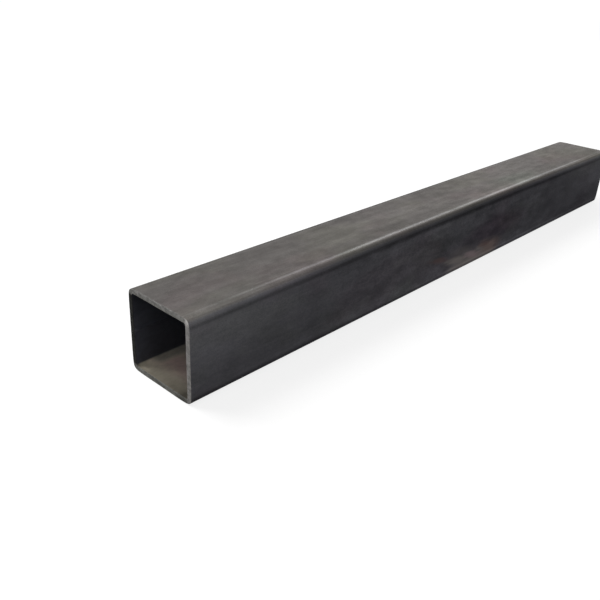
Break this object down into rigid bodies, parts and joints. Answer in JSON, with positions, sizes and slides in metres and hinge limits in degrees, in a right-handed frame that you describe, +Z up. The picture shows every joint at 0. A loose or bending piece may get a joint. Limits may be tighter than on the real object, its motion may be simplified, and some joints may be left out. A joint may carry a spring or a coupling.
{
  "type": "square metal tube",
  "caption": "Straight length of square steel hollow section with rounded corners, an open bore and sawn ends, for frames, posts and brackets.",
  "frame": {"origin": "on the ground, under the middle of the tube's length and width", "axes": "+X along the tube, +Z up, and +Y towards the wall that holds the weld seam"},
  "size_m": [0.5, 0.05, 0.05],
  "materials": {
    "mill_steel": "dark mill finish with fine drawn streaks along the length, lightly oiled"
  },
  "bodies": {
    "root": {"square_tube": "mill_steel"}
  },
  "joints": []
}
